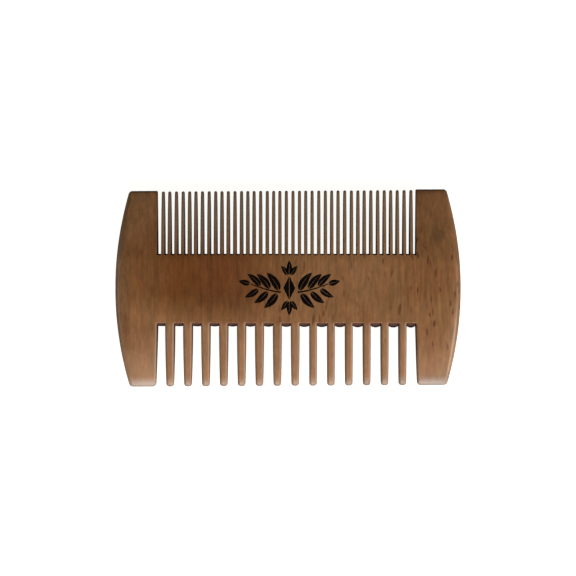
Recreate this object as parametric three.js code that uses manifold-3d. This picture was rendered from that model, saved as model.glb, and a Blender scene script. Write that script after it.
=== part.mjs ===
// Double-sided wooden beard comb: a row of coarse teeth along one long edge, a row of fine teeth
// along the other, a solid spine between them and a broad guard at each end.
// The comb lies flat on its back face: X runs along its length, +Y towards the fine teeth and +Z
// out of the front face. The origin is the middle of the back face. Lengths are in millimetres.
// The real comb is sawn from one blank. Each mesh here is one region of that blank, and the
// regions meet face to face, so every gap between two teeth is open.

import * as THREE from "three";
import { mergeVertices } from "three/addons/utils/BufferGeometryUtils.js";
import Module from "manifold-3d";

const wasm = await Module();
wasm.setup();

// Blank
const LENGTH = 100; // end to end, across the bulge of the two curved ends
const THICKNESS = 9; // between the two flat faces
const TIP_LINE = 28.4; // from the middle of the comb to either line of tips
const TIP_LINE_RISE = 0.0057; // both tip lines climb this much per millimetre towards +X
const END_ARC_RADIUS = 102; // the curved outer edge of each guard
const END_CORNER_RADIUS = 1.2; // where that edge meets a tip line

// Thickness of the blank along Y: flat in the middle, thinning in a curve to both rows of tips
const FLAT_TO_FINE = 8; // where the flat face ends on the fine side
const FLAT_TO_COARSE = -4; // and on the coarse side
const FINE_TIP_THICKNESS = 1.6;
const COARSE_TIP_THICKNESS = 3;
const FINE_THINNING_POWER = 1.25;
const COARSE_THINNING_POWER = 2;

// Rounded long edge of a guard, seen along Y
const RIM_DEPTH = 5.5; // how far in from the edge the face starts to fall
const RIM_SQUARENESS = 2.7; // superellipse exponent
const RIM_STEPS = 5; // facets from the edge to the flat face
const GUARD_STATIONS = [-23, -17, -10, -4, 2, 8, 13, 18, 23]; // sections between its two ends

// Slots
const FINE_ROOT = 9.55;
const COARSE_ROOT = -10;
const FIELD_LEFT = -37.75; // inner faces of the two guards
const FIELD_RIGHT = 36.95;
const COARSE_FLARE = 0.45; // the guards' inner faces lean back this much at the coarse tips

// Teeth narrow slowly at first and faster towards the tip
const FINE_TAPER_POWER = 5;
const COARSE_TAPER_POWER = 1.7;

const FINE_TEETH = 39;
const FINE_PITCH = 1.918;
const FINE_ROW_CENTRE = -0.29;
const FINE_ROOT_WIDTH = 1;
const FINE_TIP_WIDTH = 0.86;
const FINE_SHORTFALL = 0.19; // the fine tips stop this far short of the guards' ends
const FINE_TIP_ROUND = 0.35;
const FINE_EDGE_RADIUS = 0.25;
const FINE_WANDER = 0.05; // sawn by eye: the teeth stray this far from an even pitch
const FINE_WANDER_TURN = 1.45; // radians of the stray's wave from one tooth to the next
const FINE_DRIFT = 0.6; // and the whole row drifts by this much, in one slow wave
const FINE_DRIFT_HALF_WAVE = 36; // teeth from one end of the drift to the other
const FINE_DRIFT_FROM = 34; // the tooth, from 0 at the left, that is left furthest to the left

const COARSE_TEETH = 14;
const COARSE_PITCH = 5.178;
const COARSE_ROW_CENTRE = -0.5;
const COARSE_WIDE_ROOT = 2.67; // root width of the first two teeth from the left
const COARSE_MIDDLE_ROOT = 2.6; // of the next six
const COARSE_SLIM_ROOT = 2.22; // and of the last six
const COARSE_TIP_WIDTH = 2.24;
const COARSE_TIP_ROUND = 0.7;
const COARSE_EDGE_RADIUS = 0.65;

// The floor of each slot is worked from both faces and stands proud as a rounded ridge
const FINE_RIDGE = 0.38;
const COARSE_RIDGE = 1.3; // in the middle of a slot at the middle of the comb
const COARSE_RIDGE_RISE = 0.006; // and this much deeper per millimetre towards +X
const COARSE_RIDGE_CORNER = 1; // beside a tooth
const RIDGE_ROOTED = 1; // how deep a ridge's own solid reaches into the spine

const { degToRad, lerp, clamp } = THREE.MathUtils;

// Half the blank's thickness at height y.
function halfThickness(y) {
  const fine = y > 0;
  const from = fine ? FLAT_TO_FINE : FLAT_TO_COARSE;
  const to = fine ? TIP_LINE : -TIP_LINE;
  const tip = fine ? FINE_TIP_THICKNESS : COARSE_TIP_THICKNESS;
  const power = fine ? FINE_THINNING_POWER : COARSE_THINNING_POWER;
  const share = clamp((y - from) / (to - from), 0, 1);
  return lerp(THICKNESS, tip, share ** power) / 2;
}

// Height of the fine tips (side 1) or coarse tips (side -1) at x.
function tipLine(x, side) {
  return side * TIP_LINE + TIP_LINE_RISE * x;
}

// Closes a row of sections, rings of equally many [x, y, z] points, into one surface. Rings in
// planes across Y turn from +X to +Z and follow each other towards +Y. Rings in planes across X
// turn from +Z to +Y and follow each other towards +X.
function loft(rings) {
  const size = rings[0].length;
  const index = [];
  for (let r = 0; r + 1 < rings.length; r += 1) {
    for (let i = 0; i < size; i += 1) {
      const a = r * size + i;
      const b = r * size + ((i + 1) % size);
      index.push(a, a + size, b + size, a, b + size, b);
    }
  }
  const last = (rings.length - 1) * size;
  for (let i = 1; i + 1 < size; i += 1) {
    index.push(0, i, i + 1);
    index.push(last, last + i + 1, last + i);
  }
  const geometry = new THREE.BufferGeometry();
  geometry.setAttribute("position", new THREE.Float32BufferAttribute(rings.flat(2), 3));
  geometry.setIndex(index);
  return geometry;
}

// Joins closed geometries that overlap into one.
function join(geometries) {
  const solids = geometries.map((geometry) => {
    const merged = mergeVertices(geometry, 1e-4);
    return new wasm.Manifold(
      new wasm.Mesh({
        numProp: 3,
        vertProperties: merged.attributes.position.array,
        triVerts: new Uint32Array(merged.index.array),
      }),
    );
  });
  const mesh = solids.reduce((sum, solid) => sum.add(solid)).getMesh();
  const geometry = new THREE.BufferGeometry();
  geometry.setAttribute("position", new THREE.BufferAttribute(mesh.vertProperties, 3));
  geometry.setIndex(new THREE.BufferAttribute(mesh.triVerts, 1));
  return geometry;
}

// Steps round a quarter-round end: how far each lies from the end, and how far it draws in there.
function roundedEnd(radius, steps) {
  return Array.from({ length: steps + 1 }, (_, i) => {
    const turn = degToRad((90 * i) / steps);
    return { fromEnd: radius * (1 - Math.sin(turn)), inset: radius * (1 - Math.cos(turn)) };
  });
}

// One section of a tooth at height y: a rectangle with rounded corners.
function toothSection(centre, y, halfWidth, halfDepth, edgeRadius, cornerSteps) {
  const radius = Math.min(edgeRadius, 0.9 * halfWidth, 0.9 * halfDepth);
  const ring = [];
  [
    [1, 1],
    [-1, 1],
    [-1, -1],
    [1, -1],
  ].forEach(([sideX, sideZ], corner) => {
    for (let i = 0; i <= cornerSteps; i += 1) {
      const turn = degToRad(90 * (corner + i / cornerSteps));
      const x = sideX * (halfWidth - radius) + radius * Math.cos(turn);
      const z = sideZ * (halfDepth - radius) + radius * Math.sin(turn);
      ring.push([centre + x, y, z]);
    }
  });
  return ring;
}

// A tooth whose edges are the functions left(share) and right(share), share 0 at the root and 1
// at the tip, with side 1 for a fine tooth and -1 for a coarse one.
function toothGeometry({ side, root, shortfall, left, right, edgeRadius, cornerSteps, tipRound }) {
  const tip = tipLine((left(1) + right(1)) / 2, side) - side * shortfall;
  const length = Math.abs(tip - root);
  const stations = [0, 0.4, 0.75, 0.92].map((share) => ({ share, inset: 0 }));
  roundedEnd(tipRound, 2).forEach(({ fromEnd, inset }) => {
    stations.push({ share: 1 - fromEnd / length, inset });
  });
  const rings = stations.map(({ share, inset }) => {
    const y = root + side * length * share;
    const halfWidth = (right(share) - left(share)) / 2 - inset;
    const centre = (left(share) + right(share)) / 2;
    return toothSection(centre, y, halfWidth, halfThickness(y) - inset, edgeRadius, cornerSteps);
  });
  return loft(side > 0 ? rings : rings.reverse());
}

// Centre of fine tooth i, counted from 0 at the left.
function fineCentre(i) {
  const even = FINE_ROW_CENTRE + (i - (FINE_TEETH - 1) / 2) * FINE_PITCH;
  const drift = FINE_DRIFT * Math.cos((Math.PI * (i - FINE_DRIFT_FROM)) / FINE_DRIFT_HALF_WAVE);
  return even - drift - FINE_WANDER * Math.sin(i * FINE_WANDER_TURN);
}

// Left or right edge of fine tooth i (side -1 or 1) at a share of its length.
function fineEdge(i, side, share) {
  const width = lerp(FINE_ROOT_WIDTH, FINE_TIP_WIDTH, share ** FINE_TAPER_POWER);
  return fineCentre(i) + (side * width) / 2;
}

// Left or right edge of coarse tooth i (side -1 or 1), counted from 0 at the left, at a share of
// its length.
function coarseEdge(i, side, share) {
  const slimmer = i < 8 ? COARSE_MIDDLE_ROOT : COARSE_SLIM_ROOT;
  const rootWidth = i < 2 ? COARSE_WIDE_ROOT : slimmer;
  const centre = COARSE_ROW_CENTRE + (i - (COARSE_TEETH - 1) / 2) * COARSE_PITCH;
  const width = lerp(rootWidth, COARSE_TIP_WIDTH, share ** COARSE_TAPER_POWER);
  return centre + (side * width) / 2;
}

// The rounded ridge on the floor of a slot between x = from and x = to: half an ellipse across
// the thickness, standing depth(share) proud at a share of the way along.
function ridgeGeometry({ side, root, from, to, depth, lengthSteps, arcSteps }) {
  const half = halfThickness(root);
  const inside = root - side * RIDGE_ROOTED;
  const rings = [];
  for (let s = 0; s <= lengthSteps; s += 1) {
    const x = lerp(from, to, s / lengthSteps);
    const arc = [];
    for (let i = 0; i <= arcSteps; i += 1) {
      const turn = degToRad((180 * i) / arcSteps);
      const proud = depth(s / lengthSteps) * Math.sin(turn);
      arc.push([x, root + side * proud, half * Math.cos(turn)]);
    }
    const ring = [...arc, [x, inside, -half], [x, inside, half]];
    rings.push(side > 0 ? ring : ring.reverse());
  }
  return loft(rings);
}

// The solid bar between the two rows of roots, with a ridge on the floor of every slot.
function spineGeometry() {
  const heights = [COARSE_ROOT, (COARSE_ROOT + FLAT_TO_COARSE) / 2, FLAT_TO_COARSE];
  heights.push(FLAT_TO_FINE, FINE_ROOT);
  const front = heights.map((y) => [y, halfThickness(y)]);
  const back = heights.toReversed().map((y) => [y, -halfThickness(y)]);
  const outline = [...front, ...back];
  const bar = loft([FIELD_LEFT, FIELD_RIGHT].map((x) => outline.map(([y, z]) => [x, y, z])));

  const ridges = [];
  for (let i = 0; i <= COARSE_TEETH; i += 1) {
    const from = i === 0 ? FIELD_LEFT : coarseEdge(i - 1, 1, 0);
    const to = i === COARSE_TEETH ? FIELD_RIGHT : coarseEdge(i, -1, 0);
    const deepest = COARSE_RIDGE + (COARSE_RIDGE_RISE * (from + to)) / 2;
    ridges.push(
      ridgeGeometry({
        side: -1,
        root: COARSE_ROOT,
        from,
        to,
        depth: (share) => lerp(deepest, COARSE_RIDGE_CORNER, (2 * share - 1) ** 2),
        lengthSteps: 4,
        arcSteps: 6,
      }),
    );
  }
  for (let i = 0; i <= FINE_TEETH; i += 1) {
    ridges.push(
      ridgeGeometry({
        side: 1,
        root: FINE_ROOT,
        from: i === 0 ? FIELD_LEFT : fineEdge(i - 1, 1, 0),
        to: i === FINE_TEETH ? FIELD_RIGHT : fineEdge(i, -1, 0),
        depth: () => FINE_RIDGE,
        lengthSteps: 1,
        arcSteps: 4,
      }),
    );
  }
  return join([bar, ...ridges]);
}

// Distance of a guard's curved outer edge from the middle of the comb at height y.
function outerEdge(y) {
  return LENGTH / 2 - END_ARC_RADIUS + Math.sqrt(END_ARC_RADIUS ** 2 - y ** 2);
}

// One guard: side -1 is the left one, 1 the right one.
function guardGeometry(side) {
  const middle = (side * (LENGTH / 2 + Math.abs(side > 0 ? FIELD_RIGHT : FIELD_LEFT))) / 2;
  const top = tipLine(middle, 1);
  const bottom = tipLine(middle, -1);
  const ends = roundedEnd(END_CORNER_RADIUS, 3);
  const stations = [
    ...ends.toReversed().map(({ fromEnd, inset }) => ({ y: bottom + fromEnd, inset })),
    ...GUARD_STATIONS.map((y) => ({ y, inset: 0 })),
    ...ends.map(({ fromEnd, inset }) => ({ y: top - fromEnd, inset })),
  ];
  const rings = stations.map(({ y, inset }) => {
    const lean = COARSE_FLARE * clamp((COARSE_ROOT - y) / (TIP_LINE + COARSE_ROOT), 0, 1);
    const inner = Math.abs(side > 0 ? FIELD_RIGHT : FIELD_LEFT) + lean + inset;
    const outer = outerEdge(y) - inset;
    const half = halfThickness(y) - inset;
    const edge = Math.min(COARSE_EDGE_RADIUS, half / 2);
    const rim = [];
    for (let i = 0; i <= RIM_STEPS; i += 1) {
      const turn = degToRad((90 * i) / RIM_STEPS);
      const across = Math.cos(turn) ** (2 / RIM_SQUARENESS);
      const up = Math.sin(turn) ** (2 / RIM_SQUARENESS);
      rim.push([outer - RIM_DEPTH * (1 - across), half * up]);
    }
    const front = [...rim, [inner + edge, half], [inner, half - edge]];
    const back = front.slice(1).reverse().map(([x, z]) => [x, -z]);
    const ring = [...front, ...back].map(([x, z]) => [side * x, y, z]);
    return side > 0 ? ring : ring.reverse();
  });
  return loft(rings);
}

// Steamed beech, oiled: the thin teeth look a little greyer, the sanded coarse teeth paler.
function wood(color) {
  return new THREE.MeshStandardMaterial({ color, roughness: 0.55, metalness: 0 });
}
const BODY_WOOD = wood(0x744d2f);
const FINE_WOOD = wood(0x6e5a4b);
const COARSE_WOOD = wood(0x967355);

const comb = new THREE.Group();
comb.name = "beard_comb";
comb.position.z = THICKNESS / 2; // the geometry is drawn about the comb's middle plane

function add(name, geometry, material) {
  const mesh = new THREE.Mesh(geometry, material);
  mesh.name = name;
  comb.add(mesh);
}

add("spine", spineGeometry(), BODY_WOOD);
add("left_guard", guardGeometry(-1), BODY_WOOD);
add("right_guard", guardGeometry(1), BODY_WOOD);

for (let i = 0; i < COARSE_TEETH; i += 1) {
  const tooth = toothGeometry({
    side: -1,
    root: COARSE_ROOT,
    shortfall: 0,
    left: (share) => coarseEdge(i, -1, share),
    right: (share) => coarseEdge(i, 1, share),
    edgeRadius: COARSE_EDGE_RADIUS,
    cornerSteps: 2,
    tipRound: COARSE_TIP_ROUND,
  });
  add(`coarse_tooth_${String(i + 1).padStart(2, "0")}`, tooth, COARSE_WOOD);
}

for (let i = 0; i < FINE_TEETH; i += 1) {
  const tooth = toothGeometry({
    side: 1,
    root: FINE_ROOT,
    shortfall: FINE_SHORTFALL,
    left: (share) => fineEdge(i, -1, share),
    right: (share) => fineEdge(i, 1, share),
    edgeRadius: FINE_EDGE_RADIUS,
    cornerSteps: 1,
    tipRound: FINE_TIP_ROUND,
  });
  add(`fine_tooth_${String(i + 1).padStart(2, "0")}`, tooth, FINE_WOOD);
}

export default comb;
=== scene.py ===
"""Looks of a double-sided wooden beard comb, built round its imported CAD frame.

The comb is one piece of steamed beech, so one continuous mesh stands for all the CAD regions. Its
outline is drawn at mid thickness from the CAD boxes, walked inwards in rings up the slot walls and
over the rounded edges, and closed by the two faces. A thin printed ornament lies on the front.
Shapes are worked out in millimetres, and meshes are written in metres. In the functions, side
is 1 for the fine teeth's side and -1 for the coarse teeth's, and hand is 1 for the right end
and -1 for the left.
"""

import math

import bmesh
import bpy
import numpy as np
from mathutils import Matrix, Vector
from mathutils.geometry import delaunay_2d_cdt


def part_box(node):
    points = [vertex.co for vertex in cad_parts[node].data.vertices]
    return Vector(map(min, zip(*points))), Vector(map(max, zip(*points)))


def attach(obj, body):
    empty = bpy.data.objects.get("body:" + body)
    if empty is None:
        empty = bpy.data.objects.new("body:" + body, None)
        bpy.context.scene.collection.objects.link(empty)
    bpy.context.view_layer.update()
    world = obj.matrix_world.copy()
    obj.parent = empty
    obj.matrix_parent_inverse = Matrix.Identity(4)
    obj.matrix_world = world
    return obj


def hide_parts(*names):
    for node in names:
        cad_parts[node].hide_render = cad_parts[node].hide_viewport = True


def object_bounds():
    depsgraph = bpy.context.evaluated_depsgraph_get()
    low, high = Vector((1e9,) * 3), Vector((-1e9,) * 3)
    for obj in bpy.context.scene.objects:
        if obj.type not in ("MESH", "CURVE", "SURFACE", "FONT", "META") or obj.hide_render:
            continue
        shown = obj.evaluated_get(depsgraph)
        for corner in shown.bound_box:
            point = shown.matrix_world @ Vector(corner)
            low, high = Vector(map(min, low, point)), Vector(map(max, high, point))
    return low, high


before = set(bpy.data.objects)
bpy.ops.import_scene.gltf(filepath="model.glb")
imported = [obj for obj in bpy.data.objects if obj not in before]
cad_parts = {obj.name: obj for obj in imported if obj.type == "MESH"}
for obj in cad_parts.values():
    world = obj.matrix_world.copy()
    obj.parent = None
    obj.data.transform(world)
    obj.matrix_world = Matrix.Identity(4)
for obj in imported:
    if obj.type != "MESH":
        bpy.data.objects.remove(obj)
cad_low, cad_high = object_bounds()

MM = 0.001

# The whole comb: its box comes from the CAD frame
LENGTH = (cad_high.x - cad_low.x) / MM
THICKNESS = (cad_high.z - cad_low.z) / MM
MIDDLE_Z = (cad_high.z + cad_low.z) / 2 / MM
END_ARC_RADIUS = 102.0
END_ARC_CENTRE = LENGTH / 2 - END_ARC_RADIUS  # x of the right end's; the left end's is mirrored
TIP_LINE = 28.4  # from the middle of the comb to either row of tips
TIP_LINE_RISE = 0.0057  # per millimetre towards +X

# Thickness: flat in the middle, thinning in a curve to the tips, and rolled off at the tips
FLAT_TO_FINE = 8.0
FLAT_TO_COARSE = -4.0
FINE_TIP_THICKNESS = 1.6
COARSE_TIP_THICKNESS = 3.0
FINE_THINNING = 1.25
COARSE_THINNING = 2.0
FINE_ROLL_LENGTH, FINE_ROLL_DROP = 1.2, 0.2
COARSE_ROLL_LENGTH, COARSE_ROLL_DROP = 2.4, 0.6
RIM_WIDTH = 5.5  # the faces fall towards the curved ends over this width
RIM_DROP_SHARE = 0.22  # and by this share of the thickness

# Teeth
COARSE_TAPER_POWER = 1.7
FINE_TAPER_POWER = 5.0
COARSE_TIP_WIDTH = 2.24
COARSE_TIP_CORNER = 0.85
COARSE_FLARE = 0.45  # a guard's inner face leans back this far by the coarse tips
FINE_TIP_WIDTH = 0.86
FINE_SHORTFALL = 0.19  # the fine tips stop this far short of the guards' ends
FINE_TIP_CORNER = 0.4
GUARD_OUTER_CORNER = 1.2
GUARD_COARSE_CORNER = 1.0
GUARD_FINE_CORNER = 0.35
GUARD_TIP_SHARE = 0.9  # a guard's outer corner is about this share of the half length out
WALL_START = 0.35  # a slot's walls have their first point this far past the floor's corners

# Rounded edges: how far the rounding reaches into the face
COARSE_ROUND = 0.72
FINE_ROUND = 0.24
ROOT_ROUND = 0.12
TIP_ROUND = 0.5
GUARD_CORNER_ROUND = 1.1
RIM_ROUND = 1.5
MOST_ROUND_RISE = 0.92  # the rounding takes at most this share of the half thickness

# Ridges on the slot floors
COARSE_RIDGE = 1.3
COARSE_RIDGE_RISE = 0.006  # per millimetre towards +X
COARSE_RIDGE_CORNER = 1.0
FINE_RIDGE = 0.38

# Points along the outline
COARSE_WALL_STEPS, COARSE_TIP_STEPS, COARSE_FLOOR_POINTS = 10, 7, 7
FINE_WALL_STEPS, FINE_TIP_STEPS, FINE_FLOOR_POINTS = 12, 4, 2
GUARD_WALL_STEPS, GUARD_CORNER_STEPS = 10, 6
END_ARC_STEPS = 64
WIDENING_SHARE = 6  # the rim's rounding widens over one in this many parts of the arc

# Rings of the mesh, from mid thickness to the face
WALL_SHARES = (0.0, 0.3, 0.6, 0.85, 1.0)  # up the straight part of a wall
ROUND_STEPS = 4  # over the rounded edge
SUPPORT = 0.12  # one more ring lies this far in on the face, so that its shading stays flat
FINE_SAWN_FADE, COARSE_SAWN_FADE = 0.7, 2.5  # how fast the sawn look fades over the rounding
CREASE = math.radians(34)  # edges that turn by more than this stay sharp

# Printed ornament
ORNAMENT_CENTRE = (0.4, 0.0)
INK_OVER, INK_UNDER = 0.02, 0.015  # how far the print stands over the face, and reaches below

# Stage
PAPER_GREY = 0.35
PAPER_GLOW = 0.95
PAPER_SIZE = 3.0  # half of a side, in metres
PAPER_BELOW = 0.05  # how far the paper lies under the comb
WALL_LIGHT = 0.3
OVERHEAD_LIGHT = 0.03
CAMERA_DISTANCE = 0.78  # in metres, as are the next two
CAMERA_ASIDE = 0.004
CAMERA_FRAMES = 0.1671  # the width of the view at the comb
LIGHTS = (
    # name, azimuth and elevation in degrees, distance, width and height in metres, watts
    ("key", 6, 28, 0.75, 0.5, 0.25, 6.4),
    ("right", 68, 26, 0.8, 0.3, 0.2, 6.2),
    ("left", -85, 22, 0.8, 0.4, 0.2, 1.3),
)


def node_names(stem):
    """The CAD nodes whose names start with stem, from left to right."""
    return sorted(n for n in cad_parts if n.startswith(stem))


def box_mm(node):
    """A node's lowest and highest corners at rest, in millimetres."""
    low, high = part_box(node)
    return low / MM, high / MM


COARSE = [box_mm(n) for n in node_names("coarse_tooth_")]
FINE = [box_mm(n) for n in node_names("fine_tooth_")]
FIELD_LEFT = box_mm("left_guard")[1].x
FIELD_RIGHT = box_mm("right_guard")[0].x
COARSE_ROOT = COARSE[0][1].y
FINE_ROOT = FINE[0][0].y


def tip_line(x, side):
    """y of a side's tips at x."""
    return side * TIP_LINE + TIP_LINE_RISE * x


def face_height(x, y):
    """How far the comb's face stands from its middle plane at (x, y). Works on arrays."""
    x, y = np.asarray(x, float), np.asarray(y, float)
    fine = np.clip((y - FLAT_TO_FINE) / (TIP_LINE - FLAT_TO_FINE), 0, 1) ** FINE_THINNING
    coarse = np.clip((FLAT_TO_COARSE - y) / (TIP_LINE + FLAT_TO_COARSE), 0, 1) ** COARSE_THINNING
    thickness = THICKNESS - (THICKNESS - FINE_TIP_THICKNESS) * fine
    thickness = thickness - (THICKNESS - COARSE_TIP_THICKNESS) * coarse
    half = thickness / 2
    to_fine_tip = np.clip((tip_line(x, 1) - y) / FINE_ROLL_LENGTH, 0, 1)
    to_coarse_tip = np.clip((y - tip_line(x, -1)) / COARSE_ROLL_LENGTH, 0, 1)
    half = half - FINE_ROLL_DROP * (1 - to_fine_tip) ** 2
    half = half - COARSE_ROLL_DROP * (1 - to_coarse_tip) ** 2
    to_end = END_ARC_RADIUS - np.hypot(np.abs(x) - END_ARC_CENTRE, y)
    return half * (1 - RIM_DROP_SHARE * (1 - np.clip(to_end / RIM_WIDTH, 0, 1)) ** 2)


class Outline:
    """The comb's outline at mid thickness, anticlockwise seen from the front.

    Each point steps into the wood by its own rule: an arc point moves towards its arc's centre
    and then along the corner's diagonal, and a straight edge's point moves square to the edge.
    """

    def __init__(self):
        self.rows = []

    def point(self, x, y, out, reach, ridge=(0.0, 0.0), sawn=0.0, floor=0.0):
        """A point of an edge. out is the outward direction, and reach is the rounding's.

        ridge is how far the point moves on its way from mid thickness to the face.
        """
        self.rows.append([x, y, *out, *out, 0.0, reach, *ridge, sawn, floor])

    def arc(self, centre, radius, turn_from, turn_to, steps, reach_from, reach_to, diagonal):
        """A rounded corner, with turns in degrees. diagonal points outwards from its centre."""
        for i in range(steps + 1):
            share = i / steps
            turn = math.radians(turn_from + (turn_to - turn_from) * share)
            out = (math.cos(turn), math.sin(turn))
            reach = reach_from + (reach_to - reach_from) * share
            self.rows.append([*centre, *out, *diagonal, radius, reach, 0.0, 0.0, 0.0, 0.0])

    def columns(self):
        return np.array(self.rows, float).T


def stepped(columns, depth):
    """The outline's points after stepping in by depth, one value for each point."""
    x, y, out_x, out_y, diagonal_x, diagonal_y, radius = columns[:7]
    round_part = np.maximum(radius - depth, 0)
    past = np.maximum(depth - radius, 0)
    return (
        x + round_part * out_x - past * diagonal_x,
        y + round_part * out_y - past * diagonal_y,
    )


def tooth_edge(box, side, side_x, share):
    """x of a tooth's left (side_x -1) or right (1) wall at a share of its length from the root."""
    low, high = box
    tip_width = FINE_TIP_WIDTH if side > 0 else COARSE_TIP_WIDTH
    power = FINE_TAPER_POWER if side > 0 else COARSE_TAPER_POWER
    root_half = (high.x - low.x) / 2
    half = root_half + (tip_width / 2 - root_half) * share**power
    return (low.x + high.x) / 2 + side_x * half


def add_wall(outline, x_at, y_from, y_to, steps, side_x, reach):
    """A slot's wall from y_from to y_to, facing side_x. x_at gives its x at a given y."""
    for i in range(steps + 1):
        y = y_from + (y_to - y_from) * i / steps
        outline.point(x_at(y), y, (side_x, 0.0), reach, sawn=1.0)


def add_floor(outline, x_from, x_to, side, middle_depth):
    """The floor of a slot, from corner to corner, with its ridge standing at mid thickness.

    middle_depth is how far the ridge stands out from the root line in the middle of the slot.
    """
    if side > 0:
        root, corner_depth, reach, inner = FINE_ROOT, FINE_RIDGE, FINE_ROUND, FINE_FLOOR_POINTS
    else:
        root, corner_depth, reach = COARSE_ROOT, COARSE_RIDGE_CORNER, COARSE_ROUND
        inner = COARSE_FLOOR_POINTS
    along = 1.0 if x_to > x_from else -1.0
    count = inner + 1
    for i in range(count + 1):
        share = i / count
        x = x_from + (x_to - x_from) * share
        from_middle = (2 * share - 1) ** 2
        depth = middle_depth + (corner_depth - middle_depth) * from_middle
        y = root + side * depth
        if i == 0:
            out, near = (along, 0.0), reach
        elif i == count:
            out, near = (-along, 0.0), reach
        else:
            out, near = (0.0, side), ROOT_ROUND
        outline.point(x, y, out, near, ridge=(0.0, -side * depth), sawn=1.0, floor=1.0)


def add_tooth(outline, box, side):
    """A tooth's two walls and its tip, walked anticlockwise."""
    low, high = box
    if side > 0:
        root, ridge, corner, reach = low.y, FINE_RIDGE, FINE_TIP_CORNER, FINE_ROUND
        shortfall, wall_steps, tip_steps = FINE_SHORTFALL, FINE_WALL_STEPS, FINE_TIP_STEPS
    else:
        root, ridge, corner, reach = high.y, COARSE_RIDGE_CORNER, COARSE_TIP_CORNER, COARSE_ROUND
        shortfall, wall_steps, tip_steps = 0, COARSE_WALL_STEPS, COARSE_TIP_STEPS
    middle = (low.x + high.x) / 2
    tip = tip_line(middle, side) - shortfall
    length = abs(tip - root)
    first = root + side * (ridge + WALL_START)
    last = tip - side * corner

    def share_at(y):
        return abs(y - root) / length

    # the first wall is a fine tooth's right one and a coarse tooth's left one
    for wall in (1, -1):
        side_x = side * wall
        y_from, y_to = (first, last) if wall == 1 else (last, first)
        add_wall(
            outline,
            lambda y, s=side_x: tooth_edge(box, side, s, share_at(y)),
            y_from,
            y_to,
            wall_steps,
            side_x,
            reach,
        )
        if wall == 1:
            half = tooth_edge(box, side, 1, share_at(last)) - middle
            turns = (0, 90, 180) if side > 0 else (180, 270, 360)
            for k, toward in ((0, side_x), (1, -side_x)):
                centre = (middle + toward * (half - corner), tip - side * corner)
                diagonal = (toward, side)
                outline.arc(centre, corner, *turns[k:k + 2], tip_steps, reach, reach, diagonal)


def guard_inner_corner(hand, side):
    """The rounded corner between a guard's slot wall and its tip line: (x, y, radius)."""
    radius = GUARD_FINE_CORNER if side > 0 else GUARD_COARSE_CORNER
    wall = (FIELD_RIGHT if hand > 0 else -FIELD_LEFT) + (0 if side > 0 else COARSE_FLARE)
    x = hand * (wall + radius)
    return x, tip_line(x, side) - side * radius, radius


def guard_outer_y(hand, side):
    """y of the centre of the rounded corner between a guard's tip line and its end arc."""
    return tip_line(hand * LENGTH / 2 * GUARD_TIP_SHARE, side) - side * GUARD_OUTER_CORNER


def add_guard_end(outline, hand, side, from_inside):
    """A guard's tip line with its two rounded corners, starting with the inner or outer one."""
    inner_x, inner_y, inner_corner = guard_inner_corner(hand, side)
    outer_y = guard_outer_y(hand, side)
    outer_x = math.sqrt((END_ARC_RADIUS - GUARD_OUTER_CORNER) ** 2 - outer_y**2)
    outer_x += END_ARC_CENTRE
    lean = math.degrees(math.atan2(abs(outer_y), outer_x - END_ARC_CENTRE))
    inner_reach = FINE_ROUND if side > 0 else COARSE_ROUND
    tip_turn = 90.0 * side
    inner_turn = 180.0 * side if hand > 0 else 0.0
    outer_turn = side * lean if hand > 0 else side * (180 - lean)
    outer_centre = (hand * outer_x, outer_y)
    # the two corners as (centre, radius, turn at the wall, rounding there, diagonal)
    corners = [
        ((inner_x, inner_y), inner_corner, inner_turn, inner_reach, (-hand, side)),
        (outer_centre, GUARD_OUTER_CORNER, outer_turn, GUARD_CORNER_ROUND, (hand, side)),
    ]
    for k in (0, 1) if from_inside else (1, 0):
        centre, radius, wall_turn, reach, diagonal = corners[k]
        first = k == (0 if from_inside else 1)
        turns = (wall_turn, tip_turn) if first else (tip_turn, wall_turn)
        reaches = (reach, TIP_ROUND) if first else (TIP_ROUND, reach)
        outline.arc(centre, radius, *turns, GUARD_CORNER_STEPS, *reaches, diagonal)
        if first:
            other = corners[1 - k][0]
            for share in (0.2, 0.4, 0.6, 0.8):
                x = centre[0] + (other[0] - centre[0]) * share
                outline.point(x, tip_line(x, side), (0.0, side), TIP_ROUND)


def add_end_arc(outline, hand):
    """The curved outer edge of a guard, walked anticlockwise."""
    ends = [
        math.asin(guard_outer_y(hand, side) / (END_ARC_RADIUS - GUARD_OUTER_CORNER))
        for side in (-hand, hand)
    ]
    for i in range(1, END_ARC_STEPS):
        turn = ends[0] + (ends[1] - ends[0]) * i / END_ARC_STEPS
        from_end = min(i, END_ARC_STEPS - i) / END_ARC_STEPS
        widened = min(1, from_end * WIDENING_SHARE)
        reach = GUARD_CORNER_ROUND + (RIM_ROUND - GUARD_CORNER_ROUND) * widened
        out = (hand * math.cos(turn), math.sin(turn))
        x = hand * END_ARC_CENTRE + END_ARC_RADIUS * out[0]
        outline.point(x, END_ARC_RADIUS * out[1], out, reach)


def coarse_inner_x(hand, y):
    """x of a guard's inner face on the coarse side, which leans back towards the tips."""
    lean = COARSE_FLARE * min(1, (COARSE_ROOT - y) / (TIP_LINE + COARSE_ROOT))
    return (FIELD_RIGHT + lean) if hand > 0 else (FIELD_LEFT - lean)


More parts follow.
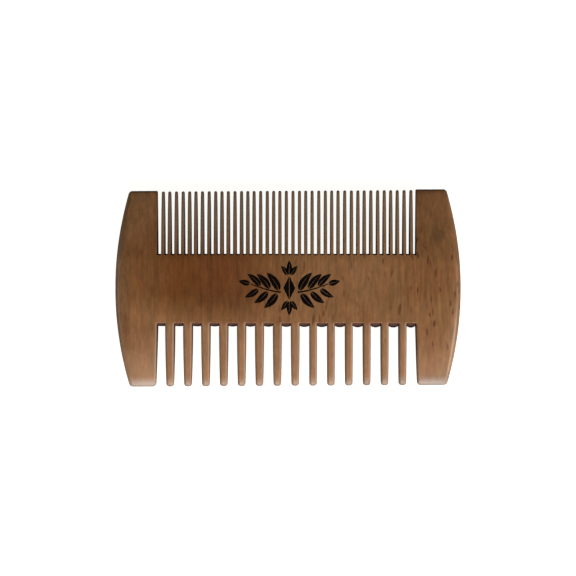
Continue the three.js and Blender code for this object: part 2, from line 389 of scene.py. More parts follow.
def comb_outline():
    """The whole outline, starting at the left guard's outer corner on the coarse side."""
    outline = Outline()
    coarse_first = COARSE_ROOT - COARSE_RIDGE_CORNER - WALL_START
    fine_first = FINE_ROOT + FINE_RIDGE + WALL_START

    def guard_wall(hand, side, x_at, y_root, going_in):
        """A guard's slot wall, walked from tip to root if going_in, and else from root to tip."""
        y_tip = guard_inner_corner(hand, side)[1]
        y_from, y_to = (y_tip, y_root) if going_in else (y_root, y_tip)
        reach = FINE_ROUND if side > 0 else COARSE_ROUND
        add_wall(outline, x_at, y_from, y_to, GUARD_WALL_STEPS, -hand, reach)

    # coarse side, left to right
    add_guard_end(outline, -1, -1, from_inside=False)
    guard_wall(-1, -1, lambda y: coarse_inner_x(-1, y), coarse_first, going_in=True)
    edges = [FIELD_LEFT]
    for box in COARSE:
        edges += [tooth_edge(box, -1, -1, 0), tooth_edge(box, -1, 1, 0)]
    edges.append(FIELD_RIGHT)
    for i, box in enumerate([*COARSE, None]):
        left, right = edges[2 * i], edges[2 * i + 1]
        deep = COARSE_RIDGE + COARSE_RIDGE_RISE * (left + right) / 2
        add_floor(outline, left, right, -1, deep)
        if box is not None:
            add_tooth(outline, box, -1)
    guard_wall(1, -1, lambda y: coarse_inner_x(1, y), coarse_first, going_in=False)
    add_guard_end(outline, 1, -1, from_inside=True)
    add_end_arc(outline, 1)

    # fine side, right to left
    add_guard_end(outline, 1, 1, from_inside=False)
    guard_wall(1, 1, lambda y: FIELD_RIGHT, fine_first, going_in=True)
    edges = [FIELD_RIGHT]
    for box in reversed(FINE):
        edges += [tooth_edge(box, 1, 1, 0), tooth_edge(box, 1, -1, 0)]
    edges.append(FIELD_LEFT)
    for i, box in enumerate([*reversed(FINE), None]):
        right, left = edges[2 * i], edges[2 * i + 1]
        add_floor(outline, right, left, 1, FINE_RIDGE)
        if box is not None:
            add_tooth(outline, box, 1)
    guard_wall(-1, 1, lambda y: FIELD_LEFT, fine_first, going_in=False)
    add_guard_end(outline, -1, 1, from_inside=True)
    add_end_arc(outline, -1)
    return outline.columns()


def wood_rings(columns):
    """Rings from mid thickness to the front face, as (x, y, z, sawn, floor) arrays."""
    on_fine_side = columns[1] > 0
    out_x, out_y = columns[2:4]
    reach, ridge_x, ridge_y, sawn, floor = columns[7:]
    face_x, face_y = stepped(columns, reach)
    face_x, face_y = face_x + ridge_x, face_y + ridge_y
    height = face_height(face_x, face_y)
    # how steeply the face falls outwards where the rounding starts, so that the two are tangent
    probe = 0.05
    fall = (height - face_height(face_x + probe * out_x, face_y + probe * out_y)) / probe
    turn_end = math.pi / 2 - np.arctan(np.maximum(fall, 0))
    round_radius = reach / (1 - np.cos(turn_end))
    rise = np.minimum(round_radius * np.sin(turn_end), MOST_ROUND_RISE * height)
    straight = height - rise
    rings = []
    for share in WALL_SHARES:
        z = straight * share
        rings.append((np.zeros_like(z), z, sawn, floor))
    for i in range(1, ROUND_STEPS + 1):
        turn = turn_end * i / ROUND_STEPS
        depth = reach * (1 - np.cos(turn)) / (1 - np.cos(turn_end))
        z = straight + rise * np.sin(turn) / np.sin(turn_end)
        fade_power = np.where(on_fine_side, FINE_SAWN_FADE, COARSE_SAWN_FADE)
        fade = (1 - i / ROUND_STEPS) ** fade_power
        rings.append((depth, z, sawn * fade, floor * fade))
    made = []
    for depth, z, ring_sawn, ring_floor in rings:
        x, y = stepped(columns, depth)
        worked = (z / height) ** 2  # a slot floor's ridge falls away towards the face
        made.append((x + ridge_x * worked, y + ridge_y * worked, z, ring_sawn, ring_floor))
    narrow = np.minimum(SUPPORT, reach / 3)
    x, y = stepped(columns, reach + narrow)
    x, y = x + ridge_x, y + ridge_y
    nothing = np.zeros_like(x)
    made.append((x, y, face_height(x, y), nothing, nothing))
    return made


def face_grid():
    """Points inside the faces: a grid on the spine and the guards, a line down each tooth."""
    pitch = 0.9
    margin = 0.75  # kept clear of the rounded edges
    past_teeth = 0.5  # the spine's grid runs this far into the guards
    further_in = 0.3  # the guards' grids start this much further from the slots
    guard_coarse_end, guard_fine_end = 1.6, 1.2  # left bare at the guards' tips
    coarse_end, fine_end = 1.3, 0.8  # left bare at the teeth's tips
    coarse_count, fine_count = 18, 14  # points down a tooth
    points = []
    bottom, top = COARSE_ROOT + margin, FINE_ROOT - margin
    for y in np.arange(bottom, top + 1e-6, (top - bottom) / round((top - bottom) / pitch)):
        for x in np.arange(FIELD_LEFT - past_teeth, FIELD_RIGHT + past_teeth, pitch):
            points.append((x, y))
    for hand, inner in ((1, FIELD_RIGHT), (-1, -FIELD_LEFT)):
        for y in np.arange(-TIP_LINE + guard_coarse_end, TIP_LINE - guard_fine_end, pitch):
            start = inner + COARSE_FLARE + margin + further_in
            end = math.sqrt((END_ARC_RADIUS - RIM_ROUND - margin) ** 2 - y**2) + END_ARC_CENTRE
            count = round((end - start) / pitch)
            for x in np.linspace(start, end, count + 1):
                points.append((hand * x, y))
    for low, high in COARSE:
        for y in np.linspace(high.y - margin, low.y + coarse_end, coarse_count):
            points.append(((low.x + high.x) / 2, y))
    for low, high in FINE:
        for y in np.linspace(low.y + margin, high.y - fine_end, fine_count):
            points.append(((low.x + high.x) / 2, y))
    return points


def fill_face(ring):
    """Triangles inside a closed ring, with face_grid's points: (new points, triangles)."""
    xs, ys = ring[0], ring[1]
    count = len(xs)
    grid = face_grid()
    coordinates = [Vector((x, y)) for x, y in zip(xs, ys)] + [Vector(p) for p in grid]
    edges = [(i, (i + 1) % count) for i in range(count)]
    inside_only, tolerance = 1, 1e-6
    found = delaunay_2d_cdt(coordinates, edges, [], inside_only, tolerance)
    corners, triangles, originals = found[0], found[2], found[3]
    ids, extra = [], []
    for position, came_from in zip(corners, originals):
        if came_from and came_from[0] < count:
            ids.append(came_from[0])
        else:
            ids.append(count + len(extra))
            extra.append((position.x, position.y))
    ordered = []
    for a, b, c in triangles:
        (ax, ay), (bx, by), (cx, cy) = corners[a], corners[b], corners[c]
        turned = (bx - ax) * (cy - ay) - (by - ay) * (cx - ax)
        ordered.append((ids[a], ids[b], ids[c]) if turned > 0 else (ids[a], ids[c], ids[b]))
    return np.array(extra, float), ordered


def as_object(mesh, name):
    """An object in the scene that holds a finished bmesh."""
    data = bpy.data.meshes.new(name)
    mesh.to_mesh(data)
    mesh.free()
    made = bpy.data.objects.new(name, data)
    bpy.context.scene.collection.objects.link(made)
    return made


def build_comb():
    """The whole comb as one closed mesh."""
    columns = comb_outline()
    rings = wood_rings(columns)
    count = len(rings[0][0])
    extra, triangles = fill_face(rings[-1])
    half_points = [np.stack(ring, axis=1) for ring in rings]
    nothing = np.zeros(len(extra))
    extra_height = face_height(extra[:, 0], extra[:, 1])
    half_points.append(
        np.stack([extra[:, 0], extra[:, 1], extra_height, nothing, nothing], axis=1)
    )
    front = np.concatenate(half_points)
    back = front[count:].copy()
    back[:, 2] *= -1
    points = np.concatenate([front, back])
    shift = len(front) - count  # a back point's index is its front twin's plus this

    faces = []
    for k in range(len(rings) - 1):
        for i in range(count):
            j = (i + 1) % count
            quad = [k * count + i, k * count + j, (k + 1) * count + j, (k + 1) * count + i]
            faces.append(quad)
            faces.append([v if v < count else v + shift for v in reversed(quad)])
    last = (len(rings) - 1) * count
    for triangle in triangles:
        front_face = [last + v for v in triangle]
        faces.append(front_face)
        faces.append([v + shift for v in reversed(front_face)])

    mesh = bmesh.new()
    layers = mesh.verts.layers.float
    sawn, floor = layers.new("sawn"), layers.new("slot_floor")
    on_fine, on_coarse = layers.new("fine_tooth"), layers.new("coarse_tooth")
    clear = 0.4  # the guards' walls don't count as teeth
    made = []
    for x, y, z, is_sawn, is_floor in points:
        vertex = mesh.verts.new((x * MM, y * MM, (MIDDLE_Z + z) * MM))
        vertex[sawn] = is_sawn
        vertex[floor] = is_floor
        in_field = FIELD_LEFT + clear < x < FIELD_RIGHT - clear
        vertex[on_fine] = in_field * min(1, max(0, y - FINE_ROOT))
        vertex[on_coarse] = in_field * min(1, max(0, COARSE_ROOT - y))
        made.append(vertex)
    for face in faces:
        mesh.faces.new([made[v] for v in face]).smooth = True
    bmesh.ops.remove_doubles(mesh, verts=mesh.verts, dist=1e-7)
    bmesh.ops.dissolve_degenerate(mesh, edges=mesh.edges, dist=1e-8)
    for edge in mesh.edges:
        if len(edge.link_faces) == 2 and edge.calc_face_angle(0) > CREASE:
            edge.smooth = False
    return as_object(mesh, "comb_wood")


comb = build_comb()
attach(comb, "root")
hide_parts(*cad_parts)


class Nodes:
    """A few words for wiring a material's nodes."""

    def __init__(self, name):
        self.material = bpy.data.materials.new(name)
        self.material.use_nodes = True
        self.tree = self.material.node_tree
        self.shader = self.tree.nodes["Principled BSDF"]

    def new(self, kind, **settings):
        node = self.tree.nodes.new(kind)
        for name, value in settings.items():
            setattr(node, name, value)
        return node

    def link(self, source, target):
        """Joins an output to an input, or sets the input to a plain value."""
        if isinstance(source, bpy.types.NodeSocket):
            self.tree.links.new(source, target)
        else:
            target.default_value = source

    def math(self, operation, *values, clamp=False):
        node = self.new("ShaderNodeMath", operation=operation, use_clamp=clamp)
        for value, socket in zip(values, node.inputs):
            self.link(value, socket)
        return node.outputs[0]

    def ramp(self, value, low, high, to_low=0.0, to_high=1.0):
        """value taken smoothly from low..high to to_low..to_high."""
        node = self.new("ShaderNodeMapRange", interpolation_type="SMOOTHSTEP")
        for source, socket in zip((value, low, high, to_low, to_high), node.inputs):
            self.link(source, socket)
        return node.outputs[0]

    def mix(self, share, first, second, blend="MIX"):
        node = self.new("ShaderNodeMix", data_type="RGBA", blend_type=blend)
        self.link(share, node.inputs[0])
        for colour, socket in ((first, node.inputs[6]), (second, node.inputs[7])):
            self.link((*colour, 1) if isinstance(colour, tuple) else colour, socket)
        return node.outputs[2]

    def place(self, scale, offset=(0, 0, 0), turn=0.0):
        """Object coordinates in millimetres, scaled along each axis."""
        coordinates = self.new("ShaderNodeTexCoord").outputs["Object"]
        mapping = self.new("ShaderNodeMapping")
        self.link(coordinates, mapping.inputs["Vector"])
        mapping.inputs["Scale"].default_value = [s / MM for s in scale]
        mapping.inputs["Location"].default_value = offset
        mapping.inputs["Rotation"].default_value = (0, 0, math.radians(turn))
        return mapping.outputs[0]

    def noise(self, scale, detail=3.0, roughness=0.55, offset=(0, 0, 0), distortion=0.0):
        """Noise from 0 to 1 whose features are 1 / scale millimetres along each axis."""
        node = self.new("ShaderNodeTexNoise")
        self.link(self.place(scale, offset), node.inputs["Vector"])
        node.inputs["Scale"].default_value = 1.0
        node.inputs["Detail"].default_value = detail
        node.inputs["Roughness"].default_value = roughness
        node.inputs["Distortion"].default_value = distortion
        return node.outputs[0]

    def attribute(self, name):
        return self.new("ShaderNodeAttribute", attribute_name=name).outputs["Fac"]


def srgb(*channels):
    """A linear colour from sRGB values of 0 to 255."""
    shares = [value / 255 for value in channels]
    return tuple(s / 12.92 if s <= 0.04045 else ((s + 0.055) / 1.055) ** 2.4 for s in shares)


def flecks(wood, cell, size, offset, keep, turn):
    """Short dashes drawn out along the grain: 1 inside a dash, 0 outside.

    cell is the size in millimetres of the cell each dash sits in, size the dash's share of it,
    keep the share of cells that have one, and turn its slant in degrees.
    """
    node = wood.new("ShaderNodeTexVoronoi", voronoi_dimensions="3D", feature="F1")
    width, length, depth = cell
    wobble = wood.noise((0.5, 0.12, 0.1), detail=2, offset=offset)
    place = wood.place((1 / width, 1 / length, 1 / depth), offset, turn)
    bend = wood.new("ShaderNodeVectorMath", operation="ADD")
    wood.link(place, bend.inputs[0])
    wood.link(wood.math("MULTIPLY", wobble, 0.9), bend.inputs[1])
    wood.link(bend.outputs[0], node.inputs["Vector"])
    node.inputs["Scale"].default_value = 1.0
    node.inputs["Randomness"].default_value = 1.0
    dash = wood.ramp(node.outputs["Distance"], size, size * 0.45)
    chosen = wood.new("ShaderNodeSeparateColor")
    wood.link(node.outputs["Color"], chosen.inputs[0])
    picked = wood.ramp(chosen.outputs[0], keep, keep - 0.06)
    return wood.math("MULTIPLY", dash, picked)


DARK_WOOD = srgb(98, 56, 21)
LIGHT_WOOD = srgb(125, 87, 54)
DARKEST_WOOD = srgb(80, 38, 17)
RED_STREAK = srgb(112, 66, 36)
FLECK = srgb(74, 38, 18)
STAIN = srgb(64, 54, 32)
THIN_TOOTH = srgb(126, 107, 88)
# partly sanded wood, partly painted light on the coarse side
SANDED_AND_LIT_WOOD = srgb(170, 134, 104)
# worn paleness and a painted highlight on the coarse tips
WORN_TIP_AND_GLINT = srgb(174, 165, 158)
# painted shade along the very edge of the coarse tips
TIP_EDGE_SHADE = srgb(118, 110, 104)
# painted shade on the coarse tips, growing towards the right end
RIGHT_TIP_SHADE_GREY = srgb(118, 104, 93)
# painted shade on the ends of the fine teeth
FINE_TIP_SHADE = srgb(50, 38, 28)
# slot walls: partly saw-darkened wood, partly painted shade between the teeth, darkest in the
# narrow fine slots
COARSE_WALL_SAWN_SHADE = srgb(66, 38, 20)
FINE_WALL_SAWN_SHADE = srgb(28, 12, 5)
# slot floors: partly burnt by the saw, partly painted shade, darkest at mid thickness
SLOT_FLOOR_BURN_SHADE = srgb(76, 45, 34)
SCORCHED_AND_SHADE = srgb(30, 12, 9)
BLACK_INK = srgb(5, 4, 4)
THIN_INK = srgb(11, 8, 7)


def base_colour(wood, x, y):
    """The board's own colour, from darker heartwood to paler wood, with its shifts of hue, and
    painted light that makes it paler towards the coarse side.
    """
    # the spine is darkest and reddest a little left of its middle, and so is the right guard's
    # end on the fine side
    tone_and_light = wood.math("ADD", wood.ramp(x, -24, 17), wood.ramp(x, -29, -46, 0.0, 0.5))
    tone_and_light = wood.math("ADD", tone_and_light, wood.ramp(x, -44.5, -49, 0.0, 0.5))
    tone_and_light = wood.math("ADD", tone_and_light, wood.ramp(x, 27, 36, 0.0, -0.3))
    # painted light: the colour grows paler towards the coarse side, as if lit from that side
    tone_and_light = wood.math("ADD", tone_and_light, wood.ramp(y, 0, -14))
    tone_and_light = wood.math("MINIMUM", tone_and_light, 1.0)
    left_guard, right_guard = wood.ramp(x, -37, -40), wood.ramp(x, 36, 40, 0.0, 0.15)
    guard_ends = wood.math("ADD", left_guard, right_guard)
    tone_and_light = wood.math("ADD", tone_and_light, wood.math("MULTIPLY", guard_ends, wood.ramp(y, 8, 26)))
    broad = wood.noise((0.055, 0.012, 0.06), detail=2, offset=(3.1, 0, 0))
    tone_and_light = wood.math("ADD", tone_and_light, wood.math("MULTIPLY_ADD", broad, 0.5, -0.25), clamp=True)
    colour = wood.mix(tone_and_light, DARK_WOOD, LIGHT_WOOD)

    hues = wood.noise((0.3, 0.14, 0.3), detail=2, offset=(9, 6, 3))
    hue = wood.mix(wood.ramp(hues, 0.3, 0.7), (0.975, 1.01, 1.0), (1.025, 0.99, 0.985))
    colour = wood.mix(1.0, colour, hue, "MULTIPLY")
    darker = wood.math("MULTIPLY", wood.ramp(x, -31, -22), wood.ramp(x, -6, -17))
    darker = wood.math("MULTIPLY", darker, wood.ramp(y, -13, -4, 0.0, 0.3))
    colour = wood.mix(darker, colour, DARKEST_WOOD)
    redder = wood.ramp(wood.noise((0.27, 0.045, 0.2), detail=2, offset=(6, 3, 1)), 0.52, 0.66)
    redder = wood.math("MULTIPLY", redder, wood.ramp(y, -4, -12, 0.12, 0.4))
    return wood.mix(redder, colour, RED_STREAK)


def with_grain(wood, colour, streaks, fibres, clouds, fine_tooth):
    """colour shaded by bands, streaks, cloudy patches, fibres, and lines down the fine teeth."""
    bands = wood.noise((0.34, 0.018, 0.3), detail=3, offset=(0, 5.2, 0), distortion=0.4)
    mottle = wood.noise((0.95, 0.42, 0.9), detail=4, roughness=0.65, offset=(1, 2, 6))
    shade = 1.0
    # each pattern swings the shade by its amount, and leaves the middle of its range alone
    for pattern, amount in (
        (bands, 0.4), (streaks, 1.0), (mottle, 0.5), (fibres, 0.2), (clouds, 0.45),
    ):
        swing = wood.math("MULTIPLY_ADD", pattern, amount, 1 - amount / 2)
        shade = wood.math("MULTIPLY", shade, swing)
    lines = wood.noise((2.6, 0.05, 1.2), detail=2, roughness=0.6, offset=(5, 0, 2))
    lines = wood.math("MULTIPLY", wood.math("SUBTRACT", lines, 0.5), fine_tooth)
    shade = wood.math("MULTIPLY", shade, wood.math("MULTIPLY_ADD", lines, 2.3, 1.0))
    shaded = wood.new("ShaderNodeVectorMath", operation="SCALE")
    wood.link(colour, shaded.inputs[0])
    wood.link(shade, shaded.inputs["Scale"])
    return shaded.outputs[0]


def ray_flecks(wood, x):
    """Where the flecks are, from 0 to 1: thicker towards the right end, and in patches."""
    many = flecks(wood, (1.4, 4.4, 5.0), 0.28, (1.3, 0.7, 0.2), 0.45, turn=4)
    large = flecks(wood, (1.9, 6.8, 6.0), 0.27, (4.3, 6.7, 1.2), 0.45, turn=-9)
    where = wood.ramp(x, -30, 30, 0.25, 1.0)
    patch = wood.ramp(wood.noise((0.09, 0.05, 0.1), detail=1, offset=(1, 8, 2)), 0.36, 0.6)
    strength = wood.math("MULTIPLY", where, wood.math("MULTIPLY_ADD", patch, 0.6, 0.4))
    return wood.math("MULTIPLY", wood.math("MAXIMUM", many, large), strength)


def old_stain(wood, x, y, clouds):
    """Where an old stain lies on the right guard, with a ragged edge."""
    across = wood.math("DIVIDE", wood.math("SUBTRACT", x, 43.2), 2.5)
    along = wood.math("DIVIDE", wood.math("SUBTRACT", y, 15), 4.2)
    away = wood.math("ADD", wood.math("POWER", across, 2), wood.math("POWER", along, 2))
    away = wood.math("ADD", away, wood.math("MULTIPLY_ADD", clouds, 2.4, -1.2))
    return wood.ramp(away, 1.4, 0.0, 0.0, 0.42)


def with_wear_and_light(wood, colour, x, y, fine_tooth):
    """colour as handled and sanded, with painted light and shade: greyer fine teeth; a paler
    coarse side, partly sanded and partly painted light; whitish coarse tips, partly worn and
    partly a painted highlight; and painted shade along the coarse tips' edges, on the coarse tips
    towards the right end, and on the fine tips.
    """
    greyer = wood.math("MULTIPLY", fine_tooth, wood.ramp(y, 10, 21, 0.3, 0.68))
    colour = wood.mix(greyer, colour, THIN_TOOTH)
    coarse_tooth = wood.attribute("coarse_tooth")
    # partly sanding, partly painted light: the coarse side and its teeth grow paler towards the
    # tips, as if lit from that side, less so on the right guard
    sanded_and_lit = wood.ramp(y, -11, -27, 0.0, 0.42)
    sanded_and_lit = wood.math("MULTIPLY", sanded_and_lit, wood.math("SUBTRACT", 1.0, coarse_tooth))
    sanded_and_lit = wood.math("MULTIPLY_ADD", coarse_tooth, 0.19, sanded_and_lit)
    sanded_and_lit = wood.math("MULTIPLY", sanded_and_lit, wood.ramp(x, 34, 40, 1.0, 0.62))
    colour = wood.mix(sanded_and_lit, colour, SANDED_AND_LIT_WOOD)
    # partly wear, partly a painted highlight: the coarse tips turn whitish, less on the teeth than
    # on the guards
    pale_and_glint = wood.ramp(y, -25.4, -28.0, 0.0, 0.34)
    pale_and_glint = wood.math("MULTIPLY", pale_and_glint, wood.math("MULTIPLY_ADD", coarse_tooth, -0.6, 1.0))
    colour = wood.mix(pale_and_glint, colour, WORN_TIP_AND_GLINT)
    # painted shade: a grey darkening along the very edge of the coarse tips
    colour = wood.mix(wood.ramp(y, -27.3, -28.4, 0.0, 0.45), colour, TIP_EDGE_SHADE)
    # painted shade: the coarse tips are darkened more towards the right end, where the light from
    # the right falls
    right_tip_shade = wood.math("MULTIPLY", wood.ramp(x, 0, 42, 0.0, 0.5), wood.ramp(y, -24, -27.4))
    colour = wood.mix(right_tip_shade, colour, RIGHT_TIP_SHADE_GREY)
    # painted shade: the fine tips darken at their ends, which turn away from the light
    return wood.mix(wood.ramp(y, 27.0, 28.4, 0.0, 0.3), colour, FINE_TIP_SHADE)


def with_saw_marks_and_shade(wood, colour, y, z, is_sawn):
    """colour with slot walls darkened partly by the saw and partly by painted shade, and floors
    darkened partly by burning and partly by painted shade, most along the middle of the edge.
    """
    sooty = wood.noise((0.6, 0.5, 0.7), detail=3, offset=(2, 2, 2))
    sawn = wood.math("MULTIPLY", is_sawn, wood.ramp(sooty, 0.1, 0.8, 0.97, 0.8))
    # partly saw marks, partly painted shade: the slot walls are darkened, near black between the
    # fine teeth
    wall = wood.mix(wood.ramp(y, -6, 6), COARSE_WALL_SAWN_SHADE, FINE_WALL_SAWN_SHADE)
    colour = wood.mix(sawn, colour, wall)
    # partly burn marks, partly painted shade: the slot floors are darkened, most near the middle
    # of the thickness
    floor = wood.attribute("slot_floor")
    colour = wood.mix(wood.math("MULTIPLY", floor, 0.9), colour, SLOT_FLOOR_BURN_SHADE)
    from_middle = wood.math("ABSOLUTE", wood.math("SUBTRACT", z, MIDDLE_Z))
    scorched_and_shade = wood.math("MULTIPLY", floor, wood.ramp(from_middle, 1.6, 3.6, 0.92, 0.05))
    return wood.mix(scorched_and_shade, colour, SCORCHED_AND_SHADE)


def wood_material():
    """Steamed beech, with its grain along Y, and with painted light and shade in its colour."""
    wood = Nodes("steamed_beech")
    split = wood.new("ShaderNodeSeparateXYZ")
    wood.link(wood.place((1, 1, 1)), split.inputs[0])
    x, y, z = split.outputs[:3]
    streaks = wood.noise((1.5, 0.16, 1.3), detail=4, roughness=0.6, offset=(7, 1, 0))
    fibres = wood.noise((7.0, 0.5, 6.0), detail=2, roughness=0.7)
    clouds = wood.noise((0.4, 0.22, 0.4), detail=3, offset=(4, 4, 1))
    fine_tooth, is_sawn = wood.attribute("fine_tooth"), wood.attribute("sawn")

    colour = base_colour(wood, x, y)
    colour = with_grain(wood, colour, streaks, fibres, clouds, fine_tooth)
    fleck = ray_flecks(wood, x)
    colour = wood.mix(wood.math("MULTIPLY", fleck, 0.8), colour, FLECK)
    colour = wood.mix(old_stain(wood, x, y, clouds), colour, STAIN)
    colour = with_wear_and_light(wood, colour, x, y, fine_tooth)
    colour = with_saw_marks_and_shade(wood, colour, y, z, is_sawn)
    wood.link(colour, wood.shader.inputs["Base Color"])

    rough = wood.math("MULTIPLY_ADD", streaks, 0.14, 0.34)
    rough = wood.math("MULTIPLY_ADD", is_sawn, 0.6, rough)
    wood.link(rough, wood.shader.inputs["Roughness"])
    wood.shader.inputs["Specular IOR Level"].default_value = 0.3

    bump = wood.new("ShaderNodeBump")
    bump.inputs["Strength"].default_value = 0.35
    bump.inputs["Distance"].default_value = 0.02 * MM
    height = wood.math("MULTIPLY_ADD", streaks, 0.6, wood.math("MULTIPLY", fibres, 0.5))
    height = wood.math("SUBTRACT", height, wood.math("MULTIPLY", fleck, 0.5))
    wood.link(height, bump.inputs["Height"])
    wood.link(bump.outputs[0], wood.shader.inputs["Normal"])
    return wood.material


comb.data.materials.append(wood_material())


# The printed ornament: two leafy sprigs either side of a lozenge


def add_strip(mesh, pairs):
    """A closed thin strip on the front face, from pairs of points on its two edges."""
    rings = []
    for pair in pairs:
        ring = []
        for x, y in pair:
            x, y = x + ORNAMENT_CENTRE[0], y + ORNAMENT_CENTRE[1]
            top = MIDDLE_Z + float(face_height(x, y))
            for z in (top + INK_OVER, top - INK_UNDER):
                ring.append(mesh.verts.new((x * MM, y * MM, z * MM)))
        rings.append([ring[0], ring[2], ring[3], ring[1]])
    for near, far in zip(rings[:-1], rings[1:]):
        for i in range(4):
            j = (i + 1) % 4
            mesh.faces.new([near[i], near[j], far[j], far[i]])
    mesh.faces.new(rings[0])
    mesh.faces.new(list(reversed(rings[-1])))


def add_leaf(mesh, base, heading, length, width, bend, hand):
    """A leaf in two halves with a thin bare midrib. Headings are in degrees from +X."""
    steps = 12
    spine = [base]
    for i in range(steps):
        turn = math.radians(heading + bend * (i + 0.5) / steps)
        x, y = spine[-1]
        spine.append((x + length / steps * math.cos(turn), y + length / steps * math.sin(turn)))
    for half in (-1, 1):
        pairs = []
        for i, (x, y) in enumerate(spine):
            share = i / steps
            turn = math.radians(heading + bend * share)
            across = (-math.sin(turn) * half, math.cos(turn) * half)
            inner = 0.05 * (1 - share) + 0.015
            outer = inner + 0.03 + width / 2 * math.sin(math.pi * share**0.75) ** 0.8
            pairs.append([(hand * (x + across[0] * d), y + across[1] * d) for d in (inner, outer)])
        add_strip(mesh, pairs)


def add_sprig(mesh, hand):
    """A stem that rises away from the lozenge, with leaves in pairs. hand is 1 for the right."""
    def stem(share):
        return 2.4 + 8.8 * share, -1.2 + 2.4 * share**1.5

    steps = 16
    pairs = []
    for i in range(steps + 1):
        x, y = stem(i / steps)
        half = 0.24 - 0.1 * i / steps
        pairs.append([(hand * x, y - half), (hand * x, y + half)])
    add_strip(mesh, pairs)
    for i in range(3):
        x, y = stem(0.06 + 0.31 * i)
        size = 1 - 0.1 * i
        add_leaf(mesh, (x, y + 0.42), 70 - 6 * i, 6.3 * size, 2.1 * size, -30, hand)
        add_leaf(mesh, (x + 0.6, y - 0.42), -62 + 8 * i, 5.6 * size, 2.0 * size, 28, hand)
    x, y = stem(1)
    add_leaf(mesh, (x + 0.15, y), 14, 3.3, 1.5, 0, hand)


def build_ornament():
    """The whole print as one mesh of closed strips."""
    mesh = bmesh.new()
    tall = 3.3  # the lozenge's half height
    for half in (-1, 1):
        pairs = []
        for i in range(7):
            y = tall * (i / 3 - 1)
            pairs.append([(half * 0.08, y), (half * (0.11 + 1.6 * (1 - abs(y) / tall)), y)])
        add_strip(mesh, pairs)
    for side in (-1, 1):
        add_leaf(mesh, (0, side * 3.9), side * 90, 4.0, 1.5, 0, 1)
        for hand in (-1, 1):
            add_leaf(mesh, (0.45, side * 3.75), side * 62, 3.2, 1.3, -side * 16, hand)
    add_sprig(mesh, 1)
    add_sprig(mesh, -1)
    bmesh.ops.recalc_face_normals(mesh, faces=mesh.faces)
    return as_object(mesh, "ornament")


ornament = build_ornament()
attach(ornament, "root")


def ink_material():
    """Matt black ink."""
    ink = Nodes("black_ink")
    shade = ink.ramp(ink.noise((0.9, 0.4, 0.9), detail=3), 0.3, 0.7)
    colour = ink.mix(shade, BLACK_INK, THIN_INK)
    ink.link(colour, ink.shader.inputs["Base Color"])
    ink.shader.inputs["Roughness"].default_value = 0.85
    ink.shader.inputs["Specular IOR Level"].default_value = 0.02
    return ink.material


ornament.data.materials.append(ink_material())


# Stage


def add_floor_plane():
    """A sheet of white paper under the comb."""
    data = bpy.data.meshes.new("floor")
    turns = ((-1, -1), (1, -1), (1, 1), (-1, 1))
    corners = [(x * PAPER_SIZE, y * PAPER_SIZE, 0) for x, y in turns]
    data.from_pydata(corners, [], [(0, 1, 2, 3)])
    floor = bpy.data.objects.new("floor", data)
    floor.location.z = cad_low.z - PAPER_BELOW * MM
    bpy.context.scene.collection.objects.link(floor)
    paper = Nodes("white_paper")
    paper.shader.inputs["Base Color"].default_value = (PAPER_GREY, PAPER_GREY, PAPER_GREY, 1)
    paper.shader.inputs["Roughness"].default_value = 0.9
    paper.shader.inputs["Specular IOR Level"].default_value = 0.1
    # the sheet glows for the camera's own rays, so it stays white in the gaps between the teeth
    glow = paper.new("ShaderNodeEmission")
    seen = paper.new("ShaderNodeLightPath").outputs["Is Camera Ray"]
    glow.inputs["Color"].default_value = (1.0, 0.995, 0.96, 1)
    paper.link(paper.math("MULTIPLY", seen, PAPER_GLOW), glow.inputs["Strength"])
    both = paper.new("ShaderNodeAddShader")
    paper.link(paper.shader.outputs[0], both.inputs[0])
    paper.link(glow.outputs[0], both.inputs[1])
    paper.link(both.outputs[0], paper.tree.nodes["Material Output"].inputs["Surface"])
    data.materials.append(paper.material)


def add_light(name, azimuth, elevation, distance, width, height, power):
    """A soft box that looks at the comb. Azimuth 0 is on the -Y side and 90 on the +X side."""
    data = bpy.data.lights.new(name, "AREA")
    data.shape = "RECTANGLE"
    data.size, data.size_y = width, height
    data.energy = power
    light = bpy.data.objects.new(name, data)
    a, e = math.radians(azimuth), math.radians(elevation)
    toward = Vector((math.sin(a) * math.cos(e), -math.cos(a) * math.cos(e), math.sin(e)))
    light.location = toward * distance
    light.rotation_mode = "QUATERNION"
    light.rotation_quaternion = toward.to_track_quat("Z", "Y")
    bpy.context.scene.collection.objects.link(light)


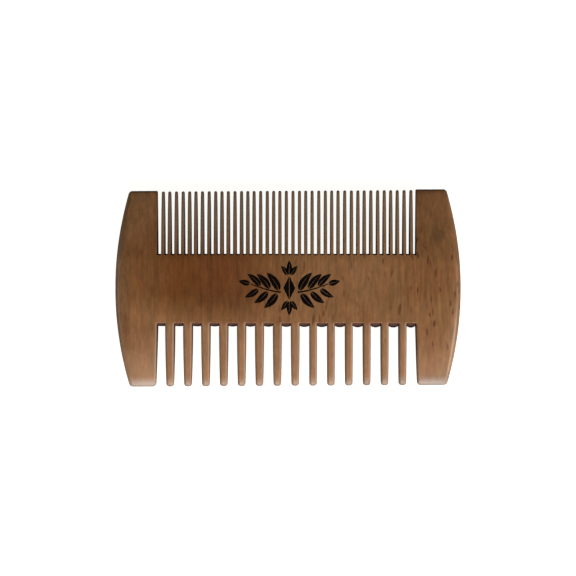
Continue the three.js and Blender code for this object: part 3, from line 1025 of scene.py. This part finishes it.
def add_world():
    """Pale walls all round the table, dark overhead, and white where the camera sees them."""
    world = bpy.data.worlds.new("studio")
    bpy.context.scene.world = world
    world.use_nodes = True
    tree = world.node_tree
    background = tree.nodes["Background"]
    background.inputs["Color"].default_value = (1, 1, 1, 1)
    split = tree.nodes.new("ShaderNodeSeparateXYZ")
    tree.links.new(tree.nodes.new("ShaderNodeTexCoord").outputs["Generated"], split.inputs[0])
    walls = tree.nodes.new("ShaderNodeMapRange")
    walls.interpolation_type = "SMOOTHSTEP"
    values = {"From Min": 0.15, "From Max": 0.75, "To Min": WALL_LIGHT, "To Max": OVERHEAD_LIGHT}
    for name, value in values.items():
        walls.inputs[name].default_value = value
    tree.links.new(split.outputs[2], walls.inputs["Value"])
    brightest = tree.nodes.new("ShaderNodeMath")
    brightest.operation = "MAXIMUM"
    tree.links.new(walls.outputs[0], brightest.inputs[0])
    tree.links.new(
        tree.nodes.new("ShaderNodeLightPath").outputs["Is Camera Ray"], brightest.inputs[1]
    )
    tree.links.new(brightest.outputs[0], background.inputs["Strength"])


def add_camera():
    """Square above the comb and a little right of its middle."""
    data = bpy.data.cameras.new("camera")
    camera = bpy.data.objects.new("camera", data)
    target = Vector((0, 0, MIDDLE_Z * MM))
    camera.location = target + Vector((CAMERA_ASIDE, 0, CAMERA_DISTANCE))
    forward = (target - camera.location).normalized()
    right = forward.cross(Vector((0, 1, 0))).normalized()
    up = right.cross(forward)
    camera.matrix_world = Matrix(
        [
            (right.x, up.x, -forward.x, camera.location.x),
            (right.y, up.y, -forward.y, camera.location.y),
            (right.z, up.z, -forward.z, camera.location.z),
            (0, 0, 0, 1),
        ]
    )
    data.sensor_width = 36
    data.lens = data.sensor_width * (target - camera.location).length / CAMERA_FRAMES
    data.clip_start = 0.01
    data.clip_end = 20
    bpy.context.scene.collection.objects.link(camera)
    bpy.context.scene.camera = camera


add_floor_plane()
for light in LIGHTS:
    add_light(*light)
add_world()
add_camera()
bpy.context.scene.view_settings.view_transform = "Standard"
